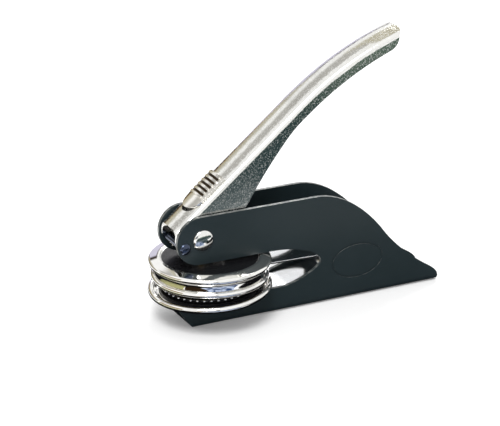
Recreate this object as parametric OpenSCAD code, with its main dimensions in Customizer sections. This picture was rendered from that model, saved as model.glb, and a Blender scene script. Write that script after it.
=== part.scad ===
// Pocket seal embosser with a folded steel frame, a chrome lever and a spring clip that
// carries a round die and its counter. Millimetres. The origin is on the resting face,
// straight below the centre of the lower die. +X runs from the nose to the tail.

/* [Frame] */
// Width over the two cheeks
frame_w = 18.6; // [17.6:0.1:20.6]
// Thickness of the folded sheet
sheet_t = 1.5; // [1.3:0.1:1.7]
// Outside radius of the two folds along the base
fold_r = 3; // [2:0.1:4]
// Height of the flat top edge above the resting face
frame_h = 47.6; // [47:0.1:49]
// From the die axis to the end of the tail
tail_x = 103; // [100:0.5:110]
// From the die axis to the foremost point of the nose
nose_x = 19.2; // [18.8:0.1:21]
// Height of the upper edge of the throat
roof_z = 27.6; // [27.4:0.1:28]
// Height of the lower edge of the throat behind the dies
floor_z = 11; // [10:0.1:12]
// From the die axis to the back of the throat
throat_x = 46; // [44:0.5:50]
// Front of the resting face, ahead of the die axis
toe_x = 11.5; // [10:0.5:14]
// Length of the oval ring pressed into each cheek
oval_l = 23.5; // [18:0.5:26]
// Height of the oval ring
oval_h = 14.5; // [10:0.5:16]
// Height of the middle of the oval above the resting face
oval_z = 16.6; // [14:0.2:18]
// From the die axis to the middle of the oval
oval_x = 63; // [62:0.5:66]
// Width of the line of the oval
oval_line = 0.8; // [0.5:0.1:1.2]

/* [Lever] */
// From the die axis forward to the pivot
pivot_x = 8; // [7.6:0.1:8.6]
// Height of the pivot above the middle of the nose
pivot_lift = 0.3; // [0:0.1:0.6]
// Radius of the pivot rivet's shank
pivot_r = 2.5; // [2:0.1:2.8]
// Radius of the pivot rivet's heads
pivot_head_r = 4.3; // [3.6:0.1:5]
// Thickness of the shims that centre the lever between the cheeks
shim_t = 0.3; // [0.2:0.05:0.5]
// Sheet thickness of the lever
lever_t = 1.2; // [1:0.1:1.4]
// From the pivot to the crown of the lever
crown_r = 10.6; // [10:0.1:11]
// Rise of the crown over its edges
crown_rise = 0.7; // [0.4:0.1:1]
// Radius of the lever's long edges
lever_edge_r = 2.2; // [1.8:0.1:2.6]
// Straight length of the lever, from the pivot to the bend
lever_straight = 65.5; // [62:0.5:70]
// Radius of the bend that droops towards the tip
lever_bend_r = 143; // [130:1:160]
// Angle of that bend
lever_bend = 21.8; // [20:0.2:24]
// Depth of the flanges towards the tip, below the crown
grip_depth = 6.5; // [6:0.1:7]
// From the pivot forward to the open end of the crown
lever_mouth = 5.4; // [5:0.1:6]
// Angle of the raised lever over the resting face
lever_rest = 39.6; // [39:0.2:42]
// Turn of the lever from raised to pressed
press_turn = 43; // [38:1:43]

/* [Latch] */
// Width of the sliding latch
latch_w = 11; // [9:0.5:11.5]
// Length of the latch
latch_l = 18.5; // [17:0.5:22]
// Thickness of its plate
latch_t = 0.9; // [0.7:0.1:1.2]
// How far it slides towards the nose
latch_travel = 3; // [2:0.5:3.5]
// From the pivot to the lower end of the latch
latch_s = 4.6; // [4:0.1:6]
// Number of finger ribs
latch_ribs = 6; // [3:1:7]
// Spacing of the ribs
rib_pitch = 2.1; // [1.8:0.1:2.2]
// Height of the ribs
rib_h = 0.8; // [0.4:0.1:1.2]

/* [Lower die] */
// Radius of the dish over its rolled rim
dish_r = 25.3; // [24.5:0.1:26.5]
// Section radius of the rolled rim
rim_r = 1.3; // [1:0.1:1.5]
// Thickness of the dish's floor
dish_t = 0.9; // [0.7:0.1:1.2]
// Height of the dish's seat at the die axis
seat_z = 11.6; // [11.2:0.1:12]
// Nose-down slope of the lower die
die_tilt = 3.6; // [3:0.1:4]
// Height of the seat under the counter, above the dish's floor
dish_seat_h = 2; // [1.6:0.1:2.2]
// From the edge of the counter out to the rim of the dish
dish_lip = 5.5; // [5.2:0.1:7]
// Thickness of the counter
counter_t = 2; // [1.6:0.1:2.2]
// Number of beads round the counter ring
counter_beads = 44; // [36:2:60]

/* [Upper die] */
// Radius of the cap's shoulder
cap_r = 25; // [24:0.1:26]
// Radius of the flat top of the cap
cap_top_r = 21.2; // [20:0.1:22]
// Radius of the waist between cap and die holder
waist_r = 22.5; // [22:0.1:23]
// Radius of the ridge of the die holder
holder_r = 24.1; // [23.6:0.1:25]
// Height of the cap above the holder
cap_h = 6.6; // [6:0.1:6.8]
// Height of the die holder
holder_h = 2.8; // [2.6:0.1:3]
// Depth of the recess in the top of the cap
cap_recess = 0.8; // [0.4:0.1:1.2]
// Gap round the counter where it enters the die holder
die_play = 0.6; // [0.5:0.1:0.9]
// Thickness of the engraved die
die_t = 0.8; // [0.7:0.1:0.9]
// How far the face of the die lies inside its holder
die_sink = 1.3; // [1.1:0.1:1.4]
// Radius of the push boss on the cap
boss_r = 6.2; // [5.6:0.1:6.6]
// Height of the boss over the recess
boss_h = 3; // [2.8:0.1:3.1]

/* [Spring clip] */
// Gap between the clip strip and each cheek
clip_play = 0.8; // [0.6:0.1:1.8]
// Thickness of the clip strip
clip_t = 0.8; // [0.6:0.1:0.9]
// Radius of the clip's rear bend, to mid strip
clip_r = 3.6; // [3.2:0.1:4]
// From the die axis to the middle of the rear bend
clip_x = 47.2; // [45:0.2:50]
// Height of the middle of the rear bend
clip_z = 16.8; // [16.4:0.1:17.4]
// Opening angle between the dies at rest
open_angle = 3; // [2.6:0.1:3]

/* [Fits] */
// Gap between the dies when pressed, for the paper
paper_gap = 0.3; // [0.2:0.05:0.5]
// Gap between parts that move past each other
run_gap = 0.3; // [0.2:0.05:0.4]
// Radial clearance of the lever on its pivot
pivot_fit = 0.05; // [0.03:0.01:0.08]
// Gap between the cam and the push boss
cam_gap = 0.15; // [0.1:0.05:0.25]
// Radial clearance of parts that drop into one another
seat_fit = 0.1; // [0.05:0.05:0.2]
// Depth that the counter drops into its seat
counter_sink = 0.3; // [0.2:0.05:0.4]

/* [Hidden] */

paint = "#2b3032";
chrome = "#c9cbc8";
steel = "#9a9c9c";
brass = "#b89a58";
black = "#141414";
fine = 96;

// Heights and places that follow from the driving sizes
nose_r = (frame_h - roof_z) / 2;
nose_cx = nose_r - nose_x;
nose_cz = frame_h - nose_r;
pivot = [-pivot_x, nose_cz + pivot_lift];
gap_w = frame_w - 2 * sheet_t;
lever_w = gap_w - 2 * (shim_t + run_gap);
flange_in = lever_w / 2 - lever_t;
clip_w = gap_w - 2 * clip_play;
counter_r = dish_r - dish_lip;
die_r = counter_r + die_play;
seat_top = dish_t + dish_seat_h;
counter_base = seat_top - counter_sink;
counter_top = counter_base + counter_t;
face_h = counter_top + paper_gap;
holder_top = holder_h - die_sink;
cap_top = holder_top + cap_h;
cap_floor = cap_top - cap_recess;
boss_top = cap_floor + boss_h;

// ---------- helpers ----------
function arc(cx, cz, r, a0, a1, n) =
    [for (i = [0:n]) let (a = a0 + (a1 - a0) * i / n) [cx + r * cos(a), cz + r * sin(a)]];

function bezier(p, q, r, s, n) =
    [for (i = [0:n]) let (t = i / n, u = 1 - t)
        u * u * u * p + 3 * u * u * t * q + 3 * u * t * t * r + t * t * t * s];

// A point given in a frame turned by a about the pivot, as a point of the side view
function turned(p, a) = [p.x * cos(a) - p.y * sin(a), p.x * sin(a) + p.y * cos(a)];

// Side view outlines are drawn in X and Z and given a width along Y
module slab(y0, y1) translate([0, y1, 0]) rotate([90, 0, 0]) linear_extrude(height = y1 - y0) children();

// A round bar along Y
module bar(x, z, r, y0, y1) translate([x, y1, z]) rotate([90, 0, 0]) cylinder(r = r, h = y1 - y0, $fn = fine);

module lever_frame() translate([pivot.x, 0, pivot.y]) rotate([0, -lever_rest, 0]) children();

module on_lower() translate([0, 0, seat_z]) rotate([0, -die_tilt, 0]) children();

// The upper die is placed pressed, square over the counter, and swung open about the clip's bend
module on_upper()
    translate([clip_x, 0, clip_z]) rotate([0, open_angle, 0]) translate([-clip_x, 0, -clip_z])
    on_lower() translate([0, 0, face_h]) children();

// ---------- frame ----------
seat_rear = 19.8;
seat_step = 2;
rear_h = 29.3;
rear_turn = [tail_x - 29, rear_h];
tail_turn = [tail_x - 4.2, 7.3];
seat_front = -nose_x + 0.6;
function seat_at(x) = seat_z + x * tan(die_tilt);

function cheek() = concat(
    [[tail_x, 0]],
    bezier([tail_x, 1.5], [tail_x, 4], tail_turn + [2.8, -1.8], tail_turn, 6),
    bezier(tail_turn, tail_turn + [-10.8, 6.5], rear_turn + [5, -7], rear_turn, 12),
    bezier(rear_turn, rear_turn + [-8, 9.7], [rear_turn.x - 19, frame_h], [rear_turn.x - 31, frame_h], 14),
    arc(nose_cx, nose_cz, nose_r, 90, 270, 40),
    bezier([throat_x - 24, roof_z], [throat_x - 10, roof_z], [throat_x, roof_z - 4.1],
           [throat_x, (roof_z + floor_z) / 2 - 0.3], 12),
    bezier([throat_x, (roof_z + floor_z) / 2 - 0.3], [throat_x, floor_z + 6.3], [throat_x - 8, floor_z + 1.5],
           [throat_x - 16.5, floor_z], 12),
    [[seat_rear + seat_step, floor_z], [seat_rear, seat_at(seat_rear)], [seat_front, seat_at(seat_front)]],
    bezier([seat_front - 0.2, seat_at(seat_front) - 0.6], [seat_front + 1.2, 7.4], [-toe_x - 2.6, 2.4],
           [-toe_x, 0], 8));

function channel(w, r, bottom) = concat(
    [[-w / 2, 2 * frame_h]],
    arc(-w / 2 + r, bottom + r, r, 180, 270, 12),
    arc(w / 2 - r, bottom + r, r, 270, 360, 12),
    [[w / 2, 2 * frame_h]]);

module oval(grow) polygon([for (i = [0:71])
    [oval_x + (oval_l / 2 + grow) * cos(5 * i), oval_z + (oval_h / 2 + grow) * sin(5 * i)]]);

module frame() color(paint) difference() {
    intersection() {
        slab(-frame_w, frame_w) polygon(cheek());
        rotate([90, 0, 90]) translate([0, 0, -nose_x - 5]) linear_extrude(height = tail_x + nose_x + 10)
            difference() {
                polygon(channel(frame_w, fold_r, 0));
                polygon(channel(gap_w, fold_r - sheet_t, sheet_t));
            }
    }
    bar(pivot.x, pivot.y, pivot_r, -frame_w, frame_w);
    bar(stop.x, stop.y, stop_r, -frame_w, frame_w);
    for (s = [-1, 1]) slab(s * frame_w / 2 - oval_deep, s * frame_w / 2 + oval_deep)
        difference() {
            oval(oval_line / 2);
            oval(-oval_line / 2);
        }
}
oval_deep = 0.25;

// ---------- pivot and stop ----------
head_h = 1.5;
head_edge = 0.5;

// A domed rivet head standing on the outer face of a cheek; side is -1 or 1
module head(x, z, r, h, edge, side) let (dome = (r * r + (h - edge) * (h - edge)) / (2 * (h - edge)))
    translate([x, side * frame_w / 2, z]) rotate([-90 * side, 0, 0]) rotate_extrude($fn = fine)
        polygon(concat([[0, 0], [r, 0], [r, edge]],
            [for (i = [1:8]) let (q = r * (1 - i / 8)) [q, h - dome + sqrt(dome * dome - q * q)]]));

module rivet(x, z, r, head_r, h, edge) {
    bar(x, z, r, -frame_w / 2, frame_w / 2);
    for (side = [-1, 1]) head(x, z, head_r, h, edge, side);
}

module pivot_rivet() color(chrome) rivet(pivot.x, pivot.y, pivot_r, pivot_head_r, head_h, head_edge);

module pivot_shims() color(steel) for (side = [-1, 1]) slab(side * (gap_w / 2 - shim_t / 2) - shim_t / 2,
                                                             side * (gap_w / 2 - shim_t / 2) + shim_t / 2)
    translate(pivot) difference() {
        circle(r = 2 * pivot_r, $fn = fine);
        circle(r = pivot_r, $fn = fine);
    }

stop_r = 1.5;
stop_head_r = 2.4;
stop_from_pivot = 8.2;
stop_angle = 198.4;
stop = pivot + stop_from_pivot * [cos(stop_angle), sin(stop_angle)];

module stop_pin() color(black) rivet(stop.x, stop.y, stop_r, stop_head_r, 1.1, 0.3);

// ---------- lever ----------
// The lever is drawn along s, from the pivot towards the tip, and n, from the pivot up to the crown
hub_r = stop_from_pivot - stop_r - run_gap - 0.1;
stop_half = asin((stop_r + run_gap) / stop_from_pivot);
mouth_angle = stop_angle - lever_rest - stop_half - 2;
// The bend is drawn from a touch before the straight ends, so the two lengths overlap
bend_lap = 0.5;
bend_mid = [lever_straight - lever_bend_r * sin(bend_lap), crown_r - lever_bend_r * cos(bend_lap)];

crown_flat = lever_w / 2 - lever_edge_r;
crown_arc = (crown_flat * crown_flat + crown_rise * crown_rise) / (2 * crown_rise);
crown_lean = asin(crown_flat / (crown_arc - lever_edge_r));

// Inverted U section, y across and n up from zero at the crown, grown inwards by skin
function lever_section(skin) = let (
    half = lever_w / 2 - skin,
    edge_mid = (crown_arc - lever_edge_r) * cos(crown_lean) - crown_arc) concat(
    [[-half, -42]],
    arc(-crown_flat, edge_mid, lever_edge_r - skin, 180, 90 + crown_lean, 8),
    arc(0, -crown_arc, crown_arc - skin, 90 + crown_lean * 5 / 6, 90 - crown_lean * 5 / 6, 10),
    arc(crown_flat, edge_mid, lever_edge_r - skin, 90 - crown_lean, 0, 8),
    [[half, -42]]);

// The section carried straight from s0 to s1 at the crown's height
module straight_web(skin, s0, s1) translate([s0, 0, crown_r]) rotate([90, 0, 90])
    linear_extrude(height = s1 - s0) polygon(lever_section(skin));

// The section carried on round the bend, from the end of the straight to beyond the tip
module bent_web(skin) translate([bend_mid.x, 0, bend_mid.y]) rotate([90, 0, 0])
    rotate([0, 0, 90 - lever_bend - 4]) rotate_extrude(angle = lever_bend + 4, $fn = 360)
    polygon([for (q = lever_section(skin)) [lever_bend_r + q.y, q.x]]);

module channel_solid(skin) {
    straight_web(skin, -crown_r - 2, lever_straight);
    bent_web(skin);
}

// A point of the grip: depth below the crown, a degrees round the bend
function grip_line(depth, a) = bend_mid + (lever_bend_r - depth) * [sin(a), cos(a)];

// The rounded end of the lever: depth below the crown and distance back from the tip
tip_curve = [[-2, 0], [0.4, 0], [0.9, 0.7], [2.1, 2.2], [3.9, 3.2], [5.1, 4.2], [6, 5.6], [grip_depth, 7.8]];

function lever_side() = concat(
    arc(0, 0, crown_r, mouth_angle, 180 - acos(lever_mouth / crown_r), 8),
    [[-lever_mouth, crown_r + 2], [lever_straight, crown_r + 2], [lever_straight + 30, crown_r + 2]],
    [for (q = tip_curve) grip_line(q[0], lever_bend - q[1] * 180 / (PI * lever_bend_r))],
    [for (i = [2:9]) grip_line(grip_depth, lever_bend * (1 - i / 10))],
    bezier(grip_line(grip_depth, 0), [lever_straight - 8, crown_r - grip_depth], [55.6, 4.5], [36.3, -0.5], 12),
    bezier([36.3, -0.5], [28, -2.9], [22, -5.2], [15, -6.8], 6),
    [[9, -hub_r - 0.9], [4, -hub_r]],
    arc(0, 0, hub_r, 276, mouth_angle, 24));

window_w = latch_w - 2.2;
window_low = latch_s - 1.4;
window_high = latch_s + 11;

module lever() color(chrome) lever_frame() difference() {
    intersection() {
        difference() {
            channel_solid(0);
            channel_solid(lever_t);
        }
        slab(-lever_w, lever_w) polygon(lever_side());
    }
    bar(0, 0, pivot_r + pivot_fit, -lever_w, lever_w);
    bar(cam_hold.x, cam_hold.y, cam_rivet_r, -lever_w, lever_w);
    translate([window_low + window_w / 2, 0, 5]) {
        cylinder(d = window_w, h = 8, $fn = fine);
        translate([0, -window_w / 2, 0]) cube([window_high - window_low - window_w / 2, window_w, 8]);
    }
}

// ---------- cam ----------
// The return spring's coil takes the room beside the cam
wire_r = 0.45;
coil_turns = 2;
coil_pitch = 2 * wire_r + 0.125;
coil_play = [0.25, 0.2];
coil_room = coil_play[0] + coil_turns * coil_pitch + 2 * wire_r + coil_play[1];

// The lowest point of this cam sinks at a steady rate as the lever turns: an involute
cam_w = 2 * (flange_in - coil_room);
cam_hub_r = 4.1;
cam_rivet_r = 1.2;
cam_hold = [10.5, 0.5];
function upper_point(p) = let (
    q = turned([p.x, p.y + face_h], die_tilt) + [0, seat_z] - [clip_x, clip_z])
    turned(q, -open_angle) + [clip_x, clip_z];
cam_reach = pivot.y - upper_point([0, boss_top]).y - cam_gap;
// The cam touches the boss this far behind the pivot, so the boss sinks there by cam_rate a radian
turn_rad = press_turn * PI / 180;
cam_rate = (clip_x + pivot_x) * sin(open_angle) / (turn_rad + sin(open_angle));

function cam_point(a) = (cam_reach + cam_rate * a * PI / 180) * [sin(a), -cos(a)] + cam_rate * [cos(a), sin(a)];

module cam() color(steel) translate([pivot.x, 0, pivot.y]) difference() {
    slab(-cam_w / 2, cam_w / 2) {
        circle(r = cam_hub_r, $fn = fine);
        polygon(concat(
            [for (a = [-10:4:press_turn + 7]) cam_point(a)],
            [turned(cam_hold + [3, 0], lever_rest), turned(cam_hold + [1.5, 2.4], lever_rest),
             turned([1, cam_hub_r], lever_rest), turned([-3.2, 1], lever_rest)]));
    }
    bar(0, 0, pivot_r + pivot_fit, -cam_w, cam_w);
    rotate([0, -lever_rest, 0]) bar(cam_hold.x, cam_hold.y, cam_rivet_r, -cam_w, cam_w);
}

module cam_spacer() color(steel) slab(-flange_in + 0.1, -cam_w / 2) translate(pivot) difference() {
    circle(r = pivot_r + 1, $fn = fine);
    circle(r = pivot_r + pivot_fit, $fn = fine);
}

module cam_rivet() color(steel) lever_frame() bar(cam_hold.x, cam_hold.y, cam_rivet_r, -lever_w / 2, lever_w / 2);

// ---------- return spring ----------
coil_r = pivot_r + 0.45 + wire_r;
coil_y = cam_w / 2 + coil_play[0] + wire_r;
leg_up = [22, crown_r - lever_t - 1.6];
leg_down = stop - pivot + [0.48, -3.2];

// Where the tangent from point p meets the coil, on the side given by sign
function touch(p, sign) = let (d = norm(p)) atan2(p.y, p.x) + sign * acos(coil_r / d);

spring_up = turned(leg_up, lever_rest);
spring_a0 = touch(spring_up, 1);
spring_a1 = touch(leg_down, -1) + 360 * coil_turns;
coil_steps = 24;

function spring_path() = concat(
    [[spring_up.x, coil_y + coil_pitch * coil_turns, spring_up.y]],
    [for (i = [0:coil_steps]) let (t = i / coil_steps, a = spring_a0 + (spring_a1 - spring_a0) * t)
        [coil_r * cos(a), coil_y + coil_pitch * coil_turns * (1 - t), coil_r * sin(a)]],
    [[leg_down.x, coil_y, leg_down.y]]);

function unit(v) = v / norm(v);

// A tube of n sides along path p; every ring keeps one side level along Y
function tube_points(p, r, n) = [for (i = [0:len(p) - 1])
    let (t = unit((i < len(p) - 1 ? unit(p[i + 1] - p[i]) : [0, 0, 0]) + (i > 0 ? unit(p[i] - p[i - 1]) : [0, 0, 0])),
         u = unit([0, 1, 0] - t.y * t),
         v = cross(t, u))
    for (k = [0:n - 1]) p[i] + r * (cos(360 * k / n) * u + sin(360 * k / n) * v)];

function tube_faces(m, n) = concat(
    [[for (k = [0:n - 1]) k]],
    [for (i = [0:m - 2]) for (k = [0:n - 1]) let (a = i * n + k, b = i * n + (k + 1) % n) [a, a + n, b]],
    [for (i = [0:m - 2]) for (k = [0:n - 1]) let (a = i * n + k, b = i * n + (k + 1) % n) [b, a + n, b + n]],
    [[for (k = [n - 1:-1:0]) (m - 1) * n + k]]);

module lever_spring() color(steel) let (p = spring_path()) translate([pivot.x, 0, pivot.y])
    polyhedron(points = tube_points(p, wire_r, 6), faces = tube_faces(len(p), 6));

// ---------- latch ----------
// Crown of the lever raised by two heights, as a band across the latch
function crown_band(h0, h1, half) = let (a = asin(half / crown_arc), mid = crown_r - crown_arc) concat(
    arc(0, mid, crown_arc + h0, 90 + a, 90 - a, 10),
    arc(0, mid, crown_arc + h1, 90 - a, 90 + a, 10));

module band(s0, s1, h0, h1, half) translate([s0, 0, 0]) rotate([90, 0, 90]) linear_extrude(height = s1 - s0)
    polygon(crown_band(h0, h1, half));

latch_ride = 0.1;
rib_inset = 1.5;
neck_w = window_w - 0.3;
neck_low = window_low + latch_travel + 0.3;
neck_high = window_high - 0.3;
keeper_top = crown_r - lever_t - crown_rise - 0.35;
keeper_t = 0.8;
keeper_w = 2 * flange_in - 1.6;
keeper_lap = 1.2;
latch_rivet_r = 0.7;
latch_rivet_s = [neck_low + 2, neck_high - 1.2];

module latch_slider() color(chrome) lever_frame() difference() {
    union() {
        intersection() {
            band(latch_s, latch_s + latch_l, latch_ride, latch_ride + latch_t, latch_w / 2);
            union() {
                translate([latch_s + latch_w / 2, 0, 0]) cylinder(d = latch_w, h = 20, $fn = fine);
                translate([latch_s + latch_w / 2, -latch_w, 0]) cube([latch_l, 2 * latch_w, 20]);
            }
        }
        for (i = [0:latch_ribs - 1]) let (s = latch_s + latch_l - 0.6 - rib_pitch * i)
            band(s - 1, s, latch_ride + latch_t / 2, latch_ride + latch_t + rib_h, latch_w / 2 - rib_inset);
        translate([0, 0, keeper_top]) linear_extrude(height = crown_r - crown_rise - keeper_top + latch_t) {
            translate([neck_low + neck_w / 2, 0]) circle(d = neck_w, $fn = fine);
            translate([neck_low + neck_w / 2, -neck_w / 2]) square([neck_high - neck_low - neck_w / 2, neck_w]);
        }
    }
    latch_rivet_pair();
}

module latch_rivet_pair() for (s = latch_rivet_s)
    translate([s, 0, keeper_top - keeper_t]) cylinder(r = latch_rivet_r, h = keeper_t + 1.5, $fn = 32);

module latch_keeper() color(steel) lever_frame() difference() {
    translate([neck_low - keeper_lap, -keeper_w / 2, keeper_top - keeper_t])
        cube([neck_high - neck_low + 2 * keeper_lap, keeper_w, keeper_t]);
    latch_rivet_pair();
}

module latch_rivets() color(steel) lever_frame() latch_rivet_pair();

// ---------- lower die ----------
rim_mid = [dish_r - rim_r, rim_r + 0.7];
stem_r = gap_w / 2 - seat_fit;
stem_h = 2.6;
stem_bore = 2.4;
dish_base_r = dish_r - 5.9;
seat_r = counter_r + 0.9;

module lower_dish() color(chrome) on_lower() rotate_extrude($fn = 180) {
    polygon([[stem_bore, 0], [dish_base_r, 0], [rim_mid.x - 1, 0.75], [rim_mid.x, 1.2], [rim_mid.x, 2],
             [rim_mid.x - 1, 2], [rim_mid.x - 1.4, 1.35], [rim_mid.x - 2.2, dish_t + 0.1], [seat_r + 0.3, dish_t],
             [seat_r, dish_t + 0.3], [seat_r, seat_top - 0.2], [seat_r - 0.2, seat_top],
             [counter_r + seat_fit, seat_top], [counter_r + seat_fit, counter_base], [stem_bore, counter_base]]);
    translate(rim_mid) circle(r = rim_r, $fn = 48);
}

ring_w = 1.5;
bead_r = 0.4;

module counter_ring() color(black) on_lower() difference() {
    union() {
        translate([0, 0, counter_base]) cylinder(r = counter_r - bead_r, h = counter_t - 0.15, $fn = 180);
        for (i = [0:counter_beads - 1]) rotate([0, 0, 360 * i / counter_beads])
            translate([counter_r - bead_r, 0, seat_top]) cylinder(r = bead_r, h = counter_top - 0.25 - seat_top, $fn = 16);
    }
    translate([0, 0, counter_base - 1]) cylinder(r = counter_r - ring_w, h = counter_t + 2, $fn = 180);
}

module counter_plate() color(black) on_lower() difference() {
    translate([0, 0, counter_base]) cylinder(r = counter_r - ring_w - seat_fit, h = counter_t, $fn = 180);
    for (r = [counter_r - ring_w - 1.6, counter_r - ring_w - 5]) translate([0, 0, counter_top - 0.15])
        rotate_extrude($fn = 120) translate([r, 0]) square([0.5, 1]);
}

module lower_stem() color(steel) on_lower() difference() {
    translate([0, 0, -stem_h]) cylinder(r = stem_r, h = stem_h, $fn = fine);
    translate([0, 0, -stem_h - 1]) cylinder(r = stem_bore, h = stem_h + 2, $fn = fine);
}

rivet_head_h = 1.2;

module lower_rivet() color(steel) on_lower() {
    translate([0, 0, -stem_h - clip_t]) cylinder(r = stem_bore, h = stem_h + clip_t + counter_base, $fn = fine);
    translate([0, 0, -stem_h - clip_t - rivet_head_h]) cylinder(r = 2 * stem_bore, h = rivet_head_h, $fn = fine);
}

// ---------- upper die ----------
ridge_r = 1.3;
rivet_spots = [-5, 5];
upper_rivet_r = 1.2;
key_spots = [-13, 13];
key_r = 1;
key_sink = die_t / 2;
key_h = 0.8;

module upper_die_holder() color(chrome) on_upper() difference() {
    rotate_extrude($fn = 180) {
        polygon([[0, -die_sink], [holder_r - ridge_r, -die_sink], [holder_r - ridge_r, 2 * ridge_r - die_sink],
                 [waist_r, 2 * ridge_r - die_sink], [waist_r, holder_top], [0, holder_top]]);
        translate([holder_r - ridge_r, ridge_r - die_sink]) circle(r = ridge_r, $fn = 48);
    }
    translate([0, 0, -die_sink - 1]) cylinder(r = die_r + seat_fit, h = 1 + die_sink + die_t, $fn = 180);
    for (x = rivet_spots) translate([x, 0, 0]) cylinder(r = upper_rivet_r, h = 20, $fn = 32);
    for (y = key_spots) translate([0, y, 0]) cylinder(r = key_r, h = die_t - key_sink + key_h, $fn = 32);
}

module upper_die() color(brass) on_upper() difference() {
    cylinder(r = die_r, h = die_t, $fn = 180);
    for (r = [die_r - 3.1, die_r - 6.5]) translate([0, 0, -0.85]) rotate_extrude($fn = 120)
        translate([r, 0]) square([0.6, 1]);
    for (y = key_spots) translate([0, y, die_t - key_sink]) cylinder(r = key_r, h = key_h, $fn = 32);
}

module die_keys() color(steel) on_upper() for (y = key_spots)
    translate([0, y, die_t - key_sink]) cylinder(r = key_r, h = key_h, $fn = 32);

arm_front = -8;
boss_shank_r = 3;
boss_shank_h = 3;

module upper_cap() color(chrome) on_upper() difference() {
    rotate_extrude($fn = 180) polygon(concat(
        [[0, holder_top], [waist_r, holder_top], [waist_r, holder_top + 0.7]],
        bezier([waist_r, holder_top + 0.7], [waist_r, cap_top - 4.2], [cap_r - 0.6, cap_top - 4.4],
               [cap_r - 0.6, cap_top - 3.1], 6),
        bezier([cap_r - 0.6, cap_top - 2.9], [cap_r + 0.2, cap_top - 2.3], [cap_r + 0.2, cap_top - 1.2],
               [cap_r - 0.9, cap_top - 0.8], 6),
        [[cap_top_r, cap_top], [cap_top_r - 1, cap_top], [cap_top_r - 1.4, cap_floor], [0, cap_floor]]));
    translate([arm_front - seat_fit, -clip_w / 2 - seat_fit, holder_top - 1])
        cube([2 * cap_r, clip_w + 2 * seat_fit, 1 + clip_t]);
    translate([0, 0, cap_floor - boss_shank_h]) cylinder(r = boss_shank_r, h = 20, $fn = fine);
    for (x = rivet_spots) translate([x, 0, 0])
        cylinder(r = upper_rivet_r, h = holder_top + clip_t + 1.6, $fn = 32);
}

module push_boss() color(chrome) on_upper() rotate_extrude($fn = fine) polygon([
    [0, cap_floor - boss_shank_h], [boss_shank_r, cap_floor - boss_shank_h], [boss_shank_r, cap_floor],
    [boss_r, cap_floor], [boss_r, cap_floor + 0.7], [boss_r - 0.6, cap_floor + 0.9],
    [boss_r - 0.6, cap_floor + 1.4], [boss_r, cap_floor + 1.6], [boss_r, boss_top - 0.4], [boss_r - 0.4, boss_top],
    [0, boss_top]]);

module upper_rivets() color(steel) on_upper() for (x = rivet_spots) translate([x, 0, die_t])
    cylinder(r = upper_rivet_r, h = holder_top + clip_t + 1.6 - die_t, $fn = 32);

// ---------- spring clip ----------
lower_rear = 18;
upper_rear = holder_r + 1.4;
lower_slope = 11;
lower_mid = -stem_h - clip_t / 2;
upper_mid = holder_top + clip_t / 2;

function lower_point(p) = turned(p, die_tilt) + [0, seat_z];
lower_end = [clip_x, clip_z] + clip_r * [sin(lower_slope), -cos(lower_slope)];
lower_knee = lower_end - (clip_x - 30) / cos(lower_slope) * [cos(lower_slope), sin(lower_slope)];
upper_knee = upper_point([upper_rear, upper_mid]);
upper_far = upper_knee - [clip_x, clip_z];
upper_side = atan2(upper_far.y, upper_far.x) - acos(clip_r / norm(upper_far));

function clip_path() = concat(
    [lower_point([arm_front, lower_mid]), lower_point([lower_rear, lower_mid]), lower_knee],
    arc(clip_x, clip_z, clip_r, lower_slope - 90, upper_side, 16),
    [upper_knee, upper_point([arm_front, upper_mid])]);

// Points of the path moved sideways by d, square to the mean of the two directions at each point
function beside(p, d) = [for (i = [0:len(p) - 1])
    let (a = i > 0 ? unit(p[i] - p[i - 1]) : unit(p[1] - p[0]),
         b = i < len(p) - 1 ? unit(p[i + 1] - p[i]) : a,
         m = unit(a + b),
         w = d / (a * m))
    p[i] + w * [-m.y, m.x]];

module die_clip() color(chrome) difference() {
    slab(-clip_w / 2, clip_w / 2) polygon(concat(beside(clip_path(), clip_t / 2),
        [for (i = [len(clip_path()) - 1:-1:0]) beside(clip_path(), -clip_t / 2)[i]]));
    on_lower() cylinder(r = stem_bore, h = 2 * (stem_h + clip_t), center = true, $fn = fine);
    on_upper() for (x = rivet_spots) translate([x, 0, holder_top - 1]) cylinder(r = upper_rivet_r, h = 3, $fn = 32);
}

// ---------- assembly ----------
frame();
pivot_rivet();
pivot_shims();
stop_pin();
lever();
cam();
cam_spacer();
cam_rivet();
lever_spring();
latch_slider();
latch_keeper();
latch_rivets();
push_boss();
upper_cap();
upper_die_holder();
upper_die();
upper_rivets();
die_keys();
die_clip();
lower_dish();
counter_ring();
counter_plate();
lower_stem();
lower_rivet();
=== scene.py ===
# %% [markdown]
# # A pocket seal embosser, dressed for its picture
#
# A seal embosser presses a raised mark into paper. A folded steel frame carries a long chrome
# lever; under the nose of the frame, two round dies sit on a springy strip, and the lever pushes
# the upper one down. The shapes come from a CAD model that is already packed with its joints, so
# this lesson loads that model and gives it what a CAD model lacks: eased edges, plated and
# painted surfaces, springs of strip and wire as meshes of their own, and light.

import math

import bmesh
import bpy
import numpy as np
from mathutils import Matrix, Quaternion, Vector


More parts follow.
